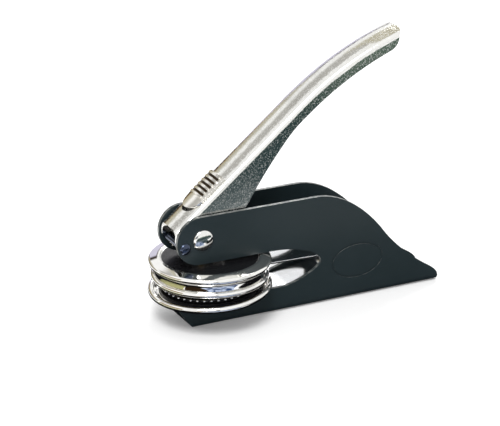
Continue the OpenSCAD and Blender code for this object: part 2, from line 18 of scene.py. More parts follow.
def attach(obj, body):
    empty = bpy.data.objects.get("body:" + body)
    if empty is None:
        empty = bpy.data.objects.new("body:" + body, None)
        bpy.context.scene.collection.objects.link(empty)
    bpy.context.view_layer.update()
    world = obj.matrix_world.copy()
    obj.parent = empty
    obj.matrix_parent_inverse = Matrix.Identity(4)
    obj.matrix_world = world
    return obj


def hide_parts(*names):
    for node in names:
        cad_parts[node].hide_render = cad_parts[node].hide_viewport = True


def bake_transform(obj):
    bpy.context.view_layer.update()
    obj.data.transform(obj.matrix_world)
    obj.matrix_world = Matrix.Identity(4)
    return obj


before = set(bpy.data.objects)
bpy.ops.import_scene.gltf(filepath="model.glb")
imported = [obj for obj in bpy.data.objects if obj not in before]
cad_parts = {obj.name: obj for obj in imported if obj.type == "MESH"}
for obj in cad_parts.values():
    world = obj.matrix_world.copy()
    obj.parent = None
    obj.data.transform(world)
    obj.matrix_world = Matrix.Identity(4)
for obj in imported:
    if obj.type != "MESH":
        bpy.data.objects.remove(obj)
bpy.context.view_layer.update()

MM = 0.001
X, Y, Z = 0, 1, 2
scene = bpy.context.scene
scene.view_settings.view_transform = "Standard"

# %% [markdown]
# ## The camera
#
# The picture was taken from the left of the nose and a little above it, with a long lens. The
# place, the point looked at and the small roll were found by fitting the round shapes of the dies.
# A long lens far away keeps the two cheeks of the frame nearly parallel, as a product picture does.

# %% Place the camera
CAMERA_PLACE = Vector((-334.6, -673.9, 343.5)) * MM
CAMERA_TARGET = Vector((17.65, 0, 41.78)) * MM
CAMERA_ROLL = math.radians(0.74)
LENS = 146.1

camera = bpy.data.objects.new("camera", bpy.data.cameras.new("camera"))
scene.collection.objects.link(camera)
scene.camera = camera
camera.location = CAMERA_PLACE
camera.rotation_mode = "QUATERNION"
looking = (CAMERA_TARGET - CAMERA_PLACE).to_track_quat("-Z", "Y")
camera.rotation_quaternion = looking @ Quaternion((0, 0, 1), CAMERA_ROLL)
camera.data.lens = LENS
camera.data.clip_start, camera.data.clip_end = 0.05, 50
print("camera is", round((CAMERA_TARGET - CAMERA_PLACE).length, 3), "m away")

# %% [markdown]
# ## Shader maths written as Python
#
# A material is a net of nodes. Built one call at a time it is hard to read, so a small class
# wraps a socket and lets sums be written as sums: `1 - mask` adds one Subtract node. A second
# class owns the node tree and adds any other node from its type, its settings and its inputs.


# %% A socket that can be added and multiplied
class Value:
    """A number on a shader socket. Each operator adds one Math node to the same tree."""

    def __init__(self, tree, socket):
        self.tree, self.socket = tree, socket

    def _math(self, operation, a, b):
        return self.tree.add("ShaderNodeMath", {"operation": operation}, {0: a, 1: b})

    def __add__(self, other):
        return self._math("ADD", self, other)

    def __radd__(self, other):
        return self._math("ADD", other, self)

    def __sub__(self, other):
        return self._math("SUBTRACT", self, other)

    def __rsub__(self, other):
        return self._math("SUBTRACT", other, self)

    def __mul__(self, other):
        return self._math("MULTIPLY", self, other)

    def __rmul__(self, other):
        return self._math("MULTIPLY", other, self)

    def __gt__(self, other):
        return self._math("GREATER_THAN", self, other)

    def size(self):
        """The value without its sign."""
        return self._math("ABSOLUTE", self, 0)

    def step(self, low, high):
        """0 below low, 1 above high, and a smooth slope between."""
        return self.tree.add(
            "ShaderNodeMapRange",
            {"interpolation_type": "SMOOTHSTEP"},
            {"Value": self, "From Min": low, "From Max": high},
        )


# %% A node tree that adds nodes from their type, settings and inputs
class Tree:
    """Owns one node tree and hands out sockets wrapped as Value."""

    def __init__(self, node_tree):
        self.nodes, self.links = node_tree.nodes, node_tree.links
        self.nodes.clear()

    def add(self, kind, settings=None, inputs=None, output=0):
        """Adds a node, sets its settings first, then its inputs as constants or links."""
        node = self.nodes.new(kind)
        for name, setting in (settings or {}).items():
            if name == "stops":
                self._set_stops(node, setting)
            else:
                setattr(node, name, setting)
        for key, value in (inputs or {}).items():
            self.feed(node, key, value)
        return Value(self, node.outputs[output])

    def feed(self, node, key, value):
        """Gives one input of a node a link or a constant."""
        socket = node.inputs[key]
        if isinstance(value, Value):
            self.links.new(value.socket, socket)
        else:
            socket.default_value = value

    @staticmethod
    def _set_stops(node, stops):
        """Fills a colour ramp from (place, colour) pairs."""
        ramp = node.color_ramp.elements
        while len(ramp) < len(stops):
            ramp.new(0.5)
        for element, (place, colour) in zip(ramp, stops):
            element.position, element.color = place, (*colour, 1)

    def place(self, scale=(1, 1, 1), move=(0, 0, 0), turn=(0, 0, 0)):
        """Object coordinates in metres, turned, stretched and moved."""
        coordinates = self.add("ShaderNodeTexCoord", output="Object")
        return self.add(
            "ShaderNodeMapping",
            None,
            {"Vector": coordinates, "Scale": scale, "Location": move, "Rotation": turn},
        )

    def along(self, axis):
        """How far a point lies along an axis, in metres."""
        return self.add("ShaderNodeSeparateXYZ", None, {0: self.place()}, output=axis)

    def reach(self, centre):
        """How far a point lies from the vertical line through centre, in metres."""
        flat = self.place(scale=(1, 1, 0), move=(-centre[0], -centre[1], 0))
        return self.add("ShaderNodeVectorMath", {"operation": "LENGTH"}, {0: flat}, output="Value")

    def facing(self, axis):
        """How far the surface faces along an axis, from -1 to 1."""
        normal = self.add("ShaderNodeTexCoord", output="Normal")
        return self.add("ShaderNodeSeparateXYZ", None, {0: normal}, output=axis)

    def noise(self, spots, detail=2.0, rough=0.5, stretch=(1, 1, 1), turn=(0, 0, 0)):
        """Cloudy noise from 0 to 1 with about one spot every 1/spots metres."""
        return self.add(
            "ShaderNodeTexNoise",
            None,
            {
                "Vector": self.place(scale=stretch, turn=turn),
                "Scale": spots,
                "Detail": detail,
                "Roughness": rough,
            },
        )

    def rings(self, centre, spots):
        """Fine rings round the vertical line through centre, as a lathe leaves them."""
        return self.add(
            "ShaderNodeTexNoise",
            {"noise_dimensions": "1D"},
            {"W": self.reach(centre), "Scale": spots, "Detail": 2.0},
        )

    def blend(self, factor, first, second):
        """One colour turning into another as factor goes from 0 to 1."""
        return self.add(
            "ShaderNodeMix",
            {"data_type": "RGBA"},
            {"Factor": factor, "A": first, "B": second},
            output="Result",
        )

    def bump(self, height, depth, under=None):
        """A normal that follows height, where a height of 1 stands depth metres high."""
        inputs = {"Height": height, "Distance": depth, "Strength": 1.0}
        if under is not None:
            inputs["Normal"] = under
        return self.add("ShaderNodeBump", None, inputs)


class Finish(Tree):
    """A material: a tree with one Principled shader. Constants go straight on its sockets."""

    def __init__(self, name):
        self.material = bpy.data.materials.new(name)
        self.material.use_nodes = True
        super().__init__(self.material.node_tree)
        self.shader = self.nodes.new("ShaderNodeBsdfPrincipled")
        out = self.nodes.new("ShaderNodeOutputMaterial")
        self.links.new(self.shader.outputs[0], out.inputs["Surface"])

    def set(self, **values):
        """Feeds the shader's sockets; an underscore stands for the space in a socket's name."""
        for key, value in values.items():
            self.feed(self.shader, key.replace("_", " "), value)


def rgb(red, green, blue):
    """A linear colour with full alpha, as a Mix node wants it."""
    return (red, green, blue, 1)


# %% [markdown]
# ## Floor, world and lamps
#
# The object stands on a plain pale floor. A white background is a matter of what the camera
# sees, not of more light, so the world is white only to rays from the camera and to rays off
# metal, and dimmer as a light. One broad soft sun and two softboxes give the shadow under the
# frame and the soft highlights on the paint.

# %% The pale world
WORLD_AMBIENT = 0.62

world = bpy.data.worlds.new("pale_room")
scene.world = world
world.use_nodes = True
room = Tree(world.node_tree)
rays = [
    room.add("ShaderNodeLightPath", output=name)
    for name in ("Is Camera Ray", "Is Glossy Ray", "Is Transmission Ray")
]
seen_as_white = rays[0] + rays[1] + rays[2] > 0.5
strength = WORLD_AMBIENT + seen_as_white * (1 - WORLD_AMBIENT)
background = room.nodes.new("ShaderNodeBackground")
room.feed(background, "Strength", strength)
room.feed(background, "Color", rgb(1, 1, 1))
room.links.new(background.outputs[0], room.nodes.new("ShaderNodeOutputWorld").inputs["Surface"])
print("ambient light", WORLD_AMBIENT)


# %% Flat sheets for the floor and the cards
def flat_sheet(name, middle, across, along, finish):
    """A rectangle round its middle: the four corners are middle +- across/2 +- along/2."""
    signs = np.array([[-1, -1], [1, -1], [1, 1], [-1, 1]]) / 2
    corners = middle + signs[:, :1] * np.array(across) + signs[:, 1:] * np.array(along)
    mesh = bpy.data.meshes.new(name)
    mesh.from_pydata(corners.tolist(), [], [(0, 1, 2, 3)])
    mesh.materials.append(finish)
    sheet = bpy.data.objects.new(name, mesh)
    scene.collection.objects.link(sheet)
    return sheet


def floor_finish():
    """Pale card, whose own faint glow keeps it white to the camera where it stands in the light."""
    card = Finish("pale_floor")
    tone = card.noise(6, detail=3, rough=0.6)
    card.set(
        Base_Color=card.blend(tone, rgb(0.80, 0.80, 0.80), rgb(0.84, 0.84, 0.84)),
        Roughness=0.85,
        Emission_Color=rgb(1, 1, 1),
        Emission_Strength=0.16,
    )
    return card.material


FLOOR_SIDE, FLOOR_Z = 12, -0.1 * MM
flat_sheet("floor", (0, 0, FLOOR_Z), (FLOOR_SIDE, 0, 0), (0, FLOOR_SIDE, 0), floor_finish())
print("floor:", FLOOR_SIDE, "m square, at z", FLOOR_Z)


# %% [markdown]
# ## Cards for the chrome
#
# Chrome has no colour of its own: it shows the room. In an all-white room it would look like
# chalk, so a product photographer stands dark and coloured cards round it, just out of the
# picture, to draw its edges. A picture of a real room on the world could do this too, but cards
# can be placed one by one: a wall behind for the lever, a floor of felt for the flanges, and
# small patches round the dies. Camera and lamps don't see them, only reflections do.

# %% A card that glows in one tone, in blotches or in stripes
PLAIN, BLOTCHED = "plain", "blotched"


def card_colour(card, pattern, tones, low, high):
    """One tone, two tones in blotches of a centimetre, or stops from low to high along an axis."""
    if pattern == PLAIN:
        return rgb(*tones)
    if pattern == BLOTCHED:
        share, stops = card.noise(70), [(0.46, tones[0]), (0.54, tones[1])]
    else:
        ends = {"From Min": low[pattern], "From Max": high[pattern]}
        share = card.add("ShaderNodeMapRange", None, {"Value": card.along(pattern), **ends})
        stops = tones
    return card.add("ShaderNodeValToRGB", {"stops": stops}, {"Fac": share})


def glowing_card(name, middle, across, along, pattern, tones):
    """A flat sheet that glows by itself and is seen only in reflections."""
    middle, across, along = (np.array(v, float) for v in (middle, across, along))
    half = (np.abs(across) + np.abs(along)) / 2
    card = Finish(name)
    card.set(Base_Color=rgb(0, 0, 0), Roughness=1.0, Specular_IOR_Level=0.0)
    colour = card_colour(card, pattern, tones, middle - half, middle + half)
    card.set(Emission_Color=colour, Emission_Strength=1.0)
    card.material.cycles.emission_sampling = "NONE"
    sheet = flat_sheet(name, middle, across, along, card.material)
    sheet.visible_camera = False
    sheet.visible_diffuse = False
    sheet.visible_shadow = False


# %% The tones of the cards, and the stops of the striped ones
FELT, TEAL, MOSS = (0.006, 0.006, 0.007), (0.030, 0.052, 0.055), (0.10, 0.145, 0.115)
BROWN, GOLD, BEIGE = (0.030, 0.018, 0.008), (0.42, 0.29, 0.09), (0.52, 0.49, 0.39)
WARM_GREY, LAVENDER, WHITE = (0.48, 0.47, 0.45), (0.68, 0.66, 0.80), (1, 1, 1)
INK, SKY, STRAW = (0.05, 0.09, 0.20), (0.55, 0.64, 0.85), (0.46, 0.45, 0.22)
SLATE = (0.15, 0.18, 0.19)
WALL_STOPS = [
    (0.00, BROWN), (0.18, BROWN), (0.21, GOLD), (0.25, BEIGE), (0.38, BEIGE), (0.50, WHITE),
    (0.64, WHITE), (0.78, WARM_GREY), (1.0, WARM_GREY),
]
SIDE_STOPS = [
    (0.00, LAVENDER), (0.30, LAVENDER), (0.335, BROWN), (0.36, BROWN), (0.39, WHITE), (0.58, WHITE),
    (0.70, BEIGE), (1.0, BEIGE),
]
FRONT_STOPS = [(0.00, MOSS), (0.45, MOSS), (0.65, TEAL), (0.85, TEAL), (1.0, SLATE)]
LEFT_STOPS = [(0.00, BROWN), (0.24, BROWN), (0.34, GOLD), (0.70, GOLD), (0.84, WHITE), (1.0, WHITE)]
ROOM_STOPS = [
    (0.00, GOLD), (0.14, GOLD), (0.18, BROWN), (0.29, FELT), (0.33, WHITE), (0.38, INK), (0.47, INK),
    (0.50, FELT), (0.62, FELT), (0.64, WHITE), (1.0, WHITE),
]


# %% Where the cards stand: middle, one side, the other side, pattern and tones
# HIGH is the height of the ceiling cards in metres, and LOW lifts a card just off the floor.
HIGH, LOW = 0.9, 0.05 * MM
CARDS = {
    "card_wall": ((-0.33, 0.70, HIGH / 2), (0.80, 0, 0), (0, 0, HIGH), Z, WALL_STOPS),
    "card_side": ((0.20, 0.69, HIGH / 2), (0.26, 0, 0), (0, 0, HIGH), Z, SIDE_STOPS),
    "card_ceiling": ((-0.35, 0.60, HIGH), (0.84, 0, 0), (0, 0.20, 0), PLAIN, WARM_GREY),
    "card_ceiling_tip": ((0.18, 0.48, HIGH), (0.22, 0, 0), (0, 0.44, 0), PLAIN, BEIGE),
    "card_left": ((-0.74, 0.20, 0.26), (0, 0.72, 0), (0, 0, 0.52), Z, LEFT_STOPS),
    "card_room": ((-0.30, -0.75, 0.13), (1.20, 0, 0), (0, 0, 0.26), X, ROOM_STOPS),
    "card_front": ((0.20, -0.26, 0.001), (0.50, 0, 0), (0, 0.31, 0), Y, FRONT_STOPS),
    "card_mat": ((0.025, 0.010, LOW), (0.17, 0, 0), (0, 0.10, 0), PLAIN, FELT),
    "card_tail": ((0.105, -0.045, LOW), (0.15, 0, 0), (0, 0.08, 0), PLAIN, FELT),
    "card_straw": ((-0.080, 0.009, LOW), (0.06, 0, 0), (0, 0.062, 0), PLAIN, STRAW),
    "card_brown": ((-0.062, -0.050, LOW), (0.052, 0, 0), (0, 0.052, 0), PLAIN, BROWN),
    "card_rivets": ((0.034, -0.094, LOW), (0.05, 0, 0), (0, 0.034, 0), PLAIN, TEAL),
    "card_sky": ((-0.008, -0.074, LOW), (0.056, 0, 0), (0, 0.064, 0), BLOTCHED, (INK, SKY)),
}
for name, layout in CARDS.items():
    glowing_card(name, *layout)
print("cards:", sorted(CARDS))


# %% Softboxes and a broad sun
def softbox(name, place, aim, size, power):
    """A square area lamp of the given side, aimed at a point."""
    lamp = bpy.data.lights.new(name, "AREA")
    lamp.size, lamp.energy = size, power
    body = bpy.data.objects.new(name, lamp)
    scene.collection.objects.link(body)
    body.location = place
    body.rotation_mode = "QUATERNION"
    body.rotation_quaternion = (Vector(aim) - Vector(place)).to_track_quat("-Z", "Y")


AIM = (0.03, 0, 0.04)
softbox("key_box", (-0.45, -0.55, 0.95), AIM, 0.45, 7)
softbox("back_box", (0.55, 0.75, 0.8), AIM, 0.5, 6)

sun = bpy.data.lights.new("sun", "SUN")
sun.energy, sun.angle = 0.7, math.radians(24)
sun_body = bpy.data.objects.new("sun", sun)
scene.collection.objects.link(sun_body)
sun_body.rotation_euler = (math.radians(24), math.radians(-18), 0)

# %% [markdown]
# ## Finishes
#
# Every surface gets its own small recipe. Paint is nearly black with a cool cast, a fine
# orange-peel skin and a paler cut edge, where the coat is worn thin and a highlight is painted.
# Chrome is a clean metal whose skin is never quite flat: soft waves under it bend the
# reflections, and wiping leaves faint hairlines.
# All patterns sit on Object coordinates, in metres, so that they stay with the metal.


# %% Satin black paint of the frame
def frame_paint():
    """Cool black paint over steel, with fine grain, faint wiping marks and cut edges painted paler, as
    worn thin paint and as a painted highlight.
    """
    paint = Finish("frame_paint")
    grain = paint.noise(2600, rough=0.6)
    cloud = paint.noise(28, detail=3, rough=0.55)
    wiping = paint.noise(420, detail=3, rough=0.6, stretch=(0.12, 1, 1), turn=(0, 0.5, 0))
    cut_edge = 1 - paint.facing(Y).size().step(0.55, 0.8)
    above_base = paint.along(Z).step(4 * MM, 6 * MM)
    # cut edges above the base: worn thin paint and a painted highlight, pale grey metal in patches
    rubbed = cut_edge * above_base * paint.noise(500, detail=3, rough=0.7).step(0.35, 0.7)
    coat = paint.blend(cloud, rgb(0.0100, 0.0180, 0.0210), rgb(0.0165, 0.0270, 0.0310))
    paint.set(
        Base_Color=paint.blend(rubbed * 0.75, coat, rgb(0.34, 0.35, 0.33)),
        Roughness=0.29 + wiping * 0.10 - grain * 0.05,
        Metallic=rubbed * 0.5,
        Specular_IOR_Level=0.46,
        Normal=paint.bump(grain, 0.02 * MM),
    )
    return paint.material


# %% Where the lever stands, in millimetres seen from the side
PIVOT = np.array([-8.0, 37.9])
LEVER_SLOPE = math.radians(39.6)
ALONG_LEVER = (0, LEVER_SLOPE, 0)
print("the lever leaves the pivot at", round(math.degrees(LEVER_SLOPE), 1), "degrees")


# %% Where shade is painted on plating, between ribs and in wells. SOFT is how wide the edge of such a patch is
SOFT = 0.2 * MM


def shade_between_ribs(plate, start, end, floor, half, crown):
    """1 on the floor between the ribs of the latch, where shade is painted, and 0 elsewhere.

    All are in millimetres from the pivot: start and end along the lever, the height of the floor
    above it, half the ribs' width, and the radius of the crown, whose height falls off by
    across^2 / (2 crown).
    """
    start, end, floor, half, crown = (v * MM for v in (start, end, floor, half, crown))
    from_pivot = plate.place(move=(-PIVOT[0] * MM, 0, -PIVOT[1] * MM))
    level = plate.add(
        "ShaderNodeVectorRotate",
        {"rotation_type": "Y_AXIS"},
        {"Vector": from_pivot, "Angle": LEVER_SLOPE},
    )
    along, across, above = (
        plate.add("ShaderNodeSeparateXYZ", None, {0: level}, output=part) for part in range(3)
    )
    inside = along.step(start, start + SOFT) * (1 - along.step(end, end + SOFT))
    inside = inside * (1 - across.size().step(half, half + 3 * SOFT))
    height = above + across * across * (0.5 / crown)
    return inside * (1 - height.step(floor + SOFT / 2, floor + 3 * SOFT))


def inside_well(plate, middle, radius, low):
    """1 inside a round well and 0 elsewhere, from its middle on X, its radius and its lowest Z in mm."""
    near = 1 - plate.reach((middle * MM, 0)).step(radius * MM - SOFT, radius * MM)
    return near * plate.along(Z).step(low * MM, (low + 0.5) * MM)


# %% Chrome, with its waves and hairlines
def chrome(
    name, tone, wave, hairline, dull, turn=(0, 0, 0), centre=None, pits=0.0, ribs=None, well=None
):
    """Plated metal. Waves bend the reflections; hairlines or lathe rings catch the light.

    tone is the colour of the plating, wave the depth of its waves and hairline that of its
    scratches, both in metres. dull is its least roughness. turn lays the hairlines along a piece,
    and centre gives the axis of a turned piece instead. pits is how strongly fine pitting dulls
    the plate. ribs is where shade is painted between ribs, and well is painted black as shade.
    """
    plate = Finish(name)
    if centre is None:
        lines = plate.noise(1500, rough=0.6, stretch=(0.04, 1, 1), turn=turn)
    else:
        lines = plate.rings(centre, 3200)
    haze = plate.noise(60, detail=4, rough=0.6).step(0.45, 0.75)
    dusk = tuple(0.80 * c for c in tone)
    colour, metallic = plate.blend(haze, rgb(*tone), rgb(*dusk)), 1.0
    roughness = dull + haze * 0.07 + lines * 0.03
    soft = plate.bump(plate.noise(240), wave)
    fine = plate.bump(plate.noise(900), wave * 0.12, soft)
    if pits:
        speckle = plate.noise(1500, detail=3, rough=0.75).step(0.50, 0.68)
        colour = plate.blend(speckle * pits, colour, rgb(0.62, 0.63, 0.62))
        roughness = roughness + speckle * 0.60 * pits
        fine = plate.bump(speckle, 0.012 * MM * pits, fine)
    if ribs:
        # painted shade: the floor between the ribs turns dark brown and duller
        rib_shade = shade_between_ribs(plate, **ribs)
        colour = plate.blend(rib_shade, colour, rgb(0.05, 0.035, 0.02))
        roughness = roughness + rib_shade * 0.3
    if well:
        # painted shade: inside the well the plating turns black, dull and not metal
        well_shade = inside_well(plate, **well)
        colour = plate.blend(well_shade, colour, rgb(0.006, 0.006, 0.007))
        metallic = 1 - well_shade
        roughness = roughness + well_shade * 0.20
    plate.set(
        Base_Color=colour,
        Metallic=metallic,
        Roughness=roughness,
        Specular_IOR_Level=0.2,
        Normal=plate.bump(lines, hairline, fine),
    )
    return plate.material


def die_plating(name, well=None):
    """The brightest plating, with faint lathe rings. On the cap and the dish, shade is painted black
    into the well.
    """
    return chrome(name, (0.93, 0.92, 0.89), 0.01 * MM, 0.0012 * MM, 0.03, centre=(0, 0), well=well)


# %% Plain steel, brass, resin and the dark pin
def bare_steel(name, tone, dull):
    """Rolled steel: grey, brushed one way, with a little stain."""
    steel = Finish(name)
    brushed = steel.noise(2200, rough=0.6, stretch=(0.05, 1, 1))
    stain = steel.noise(150, detail=4, rough=0.6).step(0.4, 0.8)
    dark = tuple(0.6 * c for c in tone)
    steel.set(
        Base_Color=steel.blend(stain, rgb(*tone), rgb(*dark)),
        Metallic=1.0,
        Roughness=dull + brushed * 0.15,
        Normal=steel.bump(brushed, 0.008 * MM),
    )
    return steel.material


def die_brass():
    """Turned brass with lathe rings and a slight tarnish."""
    brass = Finish("die_brass")
    rings = brass.rings((0, 0), 2600)
    tarnish = brass.noise(180, detail=4, rough=0.6).step(0.35, 0.8)
    brass.set(
        Base_Color=brass.blend(tarnish, rgb(0.52, 0.36, 0.13), rgb(0.26, 0.17, 0.07)),
        Metallic=1.0,
        Roughness=0.28 + tarnish * 0.2,
        Normal=brass.bump(rings, 0.01 * MM),
    )
    return brass.material


def counter_resin():
    """Black moulded resin, glossy, with a little dust and faint rings left by the mould."""
    resin = Finish("counter_resin")
    rings = resin.rings((0, 0), 1800)
    dust = resin.noise(1400, detail=3, rough=0.7).step(0.62, 0.8)
    resin.set(
        Base_Color=resin.blend(dust, rgb(0.006, 0.006, 0.007), rgb(0.03, 0.03, 0.03)),
        Roughness=0.16 + dust * 0.3,
        Specular_IOR_Level=0.6,
        Normal=resin.bump(rings, 0.008 * MM),
    )
    return resin.material


def bead_glint():
    """The beads of the ring: faces turned up are bright metal, a painted glint, and the others stay
    black.
    """
    polish = Finish("bead_glint")
    wear = polish.noise(900, rough=0.6).step(0.3, 0.7)
    # painted glint: faces turned up are bright metal, faces turned down stay black resin
    glint_top = polish.facing(Z).step(-0.2, 0.3)
    bright = polish.blend(wear, rgb(0.95, 0.96, 0.98), rgb(0.70, 0.72, 0.78))
    polish.set(
        Base_Color=polish.blend(glint_top, rgb(0.01, 0.01, 0.01), bright),
        Metallic=glint_top,
        Roughness=0.12 + wear * 0.1,
        Normal=polish.bump(polish.noise(2500), 0.01 * MM),
    )
    return polish.material


def pin_black():
    """Blued steel pin: a dark metal with a blue cast under oil, a touch rubbed on the dome."""
    blued = Finish("pin_black")
    rub = blued.noise(900, detail=3, rough=0.6).step(0.55, 0.8)
    blued.set(
        Base_Color=blued.blend(rub, rgb(0.045, 0.060, 0.100), rgb(0.08, 0.10, 0.14)),
        Metallic=0.9,
        Roughness=0.16 + rub * 0.12,
        Coat_Weight=0.4,
        Coat_Roughness=0.08,
        Normal=blued.bump(blued.noise(1600), 0.003 * MM),
    )
    return blued.material


# %% [markdown]
# ## Finishes and eased edges for the CAD nodes
#
# A CAD node has a slot name but no looks, and its edges are perfectly sharp, which no pressed or
# plated sheet is. A sharp edge catches no light, so the three pieces seen from close by get a
# narrow round on every edge. It could be cut in the CAD, but a Bevel modifier does it here, where
# only the picture needs it.

# %% One finish for each slot
# Where shade is painted between the latch's ribs, in millimetres from the pivot
LATCH_RIBS = dict(start=11.0, end=22.6, floor=11.6, half=3.8, crown=18)
FINISHES = {
    "frame_paint": frame_paint(),
    "pin_black": pin_black(),
    "lever_chrome": chrome(
        "lever_chrome", (0.89, 0.885, 0.85), 0.07 * MM, 0.003 * MM, 0.08, ALONG_LEVER, pits=0.55
    ),
    "latch_chrome": chrome(
        "latch_chrome", (0.93, 0.91, 0.86), 0.02 * MM, 0.003 * MM, 0.10, ALONG_LEVER, pits=0.25,
        ribs=LATCH_RIBS,
    ),
    "rivet_chrome": chrome("rivet_chrome", (0.88, 0.88, 0.85), 0.02 * MM, 0.003 * MM, 0.09),
    "die_chrome": die_plating("die_chrome"),
    "clip_chrome": chrome("clip_chrome", (0.80, 0.81, 0.83), 0.03 * MM, 0.003 * MM, 0.10),
    "steel": bare_steel("plain_steel", (0.46, 0.46, 0.45), 0.28),
    "spring_steel": bare_steel("spring_steel", (0.40, 0.40, 0.40), 0.22),
    "die_brass": die_brass(),
    "counter_black": counter_resin(),
}
print("finishes:", len(FINISHES))


# %% Every node takes its finish, and three take eased edges
SAME_POINT, FLAT_TURN, SHARP_TURN = 0.002 * MM, math.radians(0.3), math.radians(35)


def ease_edges(piece, width):
    """Welds loose triangles, joins flat ones, and rounds each edge that turns past SHARP_TURN."""
    weld = piece.modifiers.new("weld", "WELD")
    weld.merge_threshold = SAME_POINT
    join = piece.modifiers.new("join_flats", "DECIMATE")
    join.decimate_type = "DISSOLVE"
    join.angle_limit = FLAT_TURN
    ease = piece.modifiers.new("ease", "BEVEL")
    ease.limit_method = "ANGLE"
    ease.angle_limit = SHARP_TURN
    ease.width, ease.segments = width, 3
    ease.harden_normals = True


def even_normals(piece):
    """Lets the large faces keep their own direction, so that flats stay flat beside an eased edge."""
    normals = piece.modifiers.new("normals", "WEIGHTED_NORMAL")
    normals.keep_sharp = False


EASED = {"frame": 0.25 * MM, "lever": 0.25 * MM, "latch_slider": 0.15 * MM}
for node, piece in sorted(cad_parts.items()):
    slot = piece.data.materials[0].name.split(".")[0]
    piece.material_slots[0].material = FINISHES[slot]
    if node in EASED:
        ease_edges(piece, EASED[node])
        even_normals(piece)
    print(node, "->", slot)

# %% [markdown]
# ## Turned pieces
#
# The cap, the die holder, the dish, the boss and the rivets were turned on a lathe, and chrome
# shows at once whether a round thing is truly round. A lathe is also the easiest shape to write
# down: a profile of radius and height, carried once round an axis. Every corner of the profile is
# first eased by a short curve, because it is that narrow band that catches the light.


# %% Profiles with eased corners
CORNER = 6


def arc(centre, radius, start, stop, count):
    """Points centre + radius * (cos a, sin a) for a from start to stop, in degrees."""
    turn = np.radians(np.linspace(start, stop, count))
    return np.array(centre, float) + radius * np.stack([np.cos(turn), np.sin(turn)], axis=1)


def bezier(a, b, c, d, count):
    """Points of the cubic (1-t)^3 a + 3(1-t)^2 t b + 3(1-t) t^2 c + t^3 d."""
    t = np.linspace(0, 1, count)[:, None]
    a, b, c, d = (np.array(v, float) for v in (a, b, c, d))
    return (1 - t) ** 3 * a + 3 * (1 - t) ** 2 * t * b + 3 * (1 - t) * t**2 * c + t**3 * d


def eased(corners, cut, closed=True):
    """Each corner p becomes the parabola (1-t)^2 a + 2(1-t)t p + t^2 b.

    a and b lie on the two edges, cut away from p but never past 45% of an edge. A corner on the
    axis, and the two ends of an open line, stay as they are. Each corner gives CORNER points, so
    a slice that leaves out CORNER points leaves out one corner.
    """
    p = np.array(corners, float)
    before, after = np.roll(p, 1, axis=0) - p, np.roll(p, -1, axis=0) - p
    reach = [np.linalg.norm(side, axis=1, keepdims=True) for side in (before, after)]
    kept = (p[:, :1] == 0) if closed else np.isin(np.arange(len(p)), [0, len(p) - 1])[:, None]
    a, b = (
        p + side / np.maximum(r, 1e-9) * np.minimum(cut, 0.45 * r) * (1 - kept)
        for side, r in zip((before, after), reach)
    )
    t = np.linspace(0, 1, CORNER)[None, :, None]
    curve = (1 - t) ** 2 * a[:, None] + 2 * (1 - t) * t * p[:, None] + t**2 * b[:, None]
    return curve.reshape(-1, p.shape[1])


# %% From a grid of points to a closed mesh
def closed_skin(name, slot, points, rows, columns, wrap_rows=False, copies=1, finish=None):
    """Skins a grid of points: quads between neighbours, the columns closed into rings.

    Open rows are closed by a fan round the middle of the first and the last ring. Points that
    fall together are merged, and the faces are then turned to look outwards. copies is how many
    such grids follow each other in points. Without a finish of its own, the slot's is used.
    """
    grid = np.arange(rows * columns).reshape(rows, columns)
    right = np.roll(grid, -1, axis=1)
    if wrap_rows:
        upper, upper_right = np.roll(grid, -1, axis=0), np.roll(right, -1, axis=0)
        lower, lower_right = grid, right
    else:
        lower, lower_right, upper, upper_right = grid[:-1], right[:-1], grid[1:], right[1:]
    quads = np.stack([lower, lower_right, upper_right, upper], axis=-1).reshape(-1, 4)
    faces = np.concatenate([quads + copy * rows * columns for copy in range(copies)]).tolist()
    points = points.reshape(-1, 3)
    if not wrap_rows:
        for ring in (0, rows - 1):
            middle = points[grid[ring]].mean(axis=0, keepdims=True)
            points = np.concatenate([points, middle])
            fan = np.stack([grid[ring], right[ring], np.full(columns, len(points) - 1)], axis=1)
            faces += fan.tolist()
    mesh = bpy.data.meshes.new(name)
    mesh.from_pydata((points * MM).tolist(), [], faces)
    shell = bmesh.new()
    shell.from_mesh(mesh)
    bmesh.ops.remove_doubles(shell, verts=shell.verts, dist=SAME_POINT / 4)
    bmesh.ops.recalc_face_normals(shell, faces=shell.faces)
    shell.to_mesh(mesh)
    shell.free()
    mesh.shade_smooth()
    mesh.materials.append(finish or FINISHES[slot])
    piece = bpy.data.objects.new(name, mesh)
    scene.collection.objects.link(piece)
    print(name, len(mesh.polygons), "faces")
    return piece


def lathe(profile, steps=180):
    """Point (r, h) of the profile goes to (r cos a, r sin a, h) for every step a round the axis."""
    turn = np.linspace(0, 2 * np.pi, steps, endpoint=False)[:, None]
    r, h = profile[None, :, 0], profile[None, :, 1]
    return np.stack([r * np.cos(turn), r * np.sin(turn), h + 0 * turn], axis=-1)


# %% Where the two dies stand
# Both lean back by the tilt. SEAT_Z is the height of the lower one's seat and FACE_H that of its
# face above the seat. The strip bends round BEND_MIDDLE, and the upper die swings about it.
DIE_TILT, OPEN_ANGLE = math.radians(3.6), math.radians(3.0)
SEAT_Z, FACE_H = 11.6, 4.9
BEND_MIDDLE, BEND_RADIUS = np.array([47.2, 16.8]), 3.6


def leaned(points, angle, middle):
    """Turns x and z by angle about a point of the side view, lifting the +X side."""
    x, z = points[..., 0] - middle[0], points[..., 2] - middle[1]
    c, s = math.cos(angle), math.sin(angle)
    return np.stack([middle[0] + c * x - s * z, points[..., 1], middle[1] + s * x + c * z], axis=-1)


def on_lower(points):
    """From the lower die's own frame to the part's: leaned by the tilt and lifted to the seat."""
    return leaned(points, DIE_TILT, (0, 0)) + (0, 0, SEAT_Z)


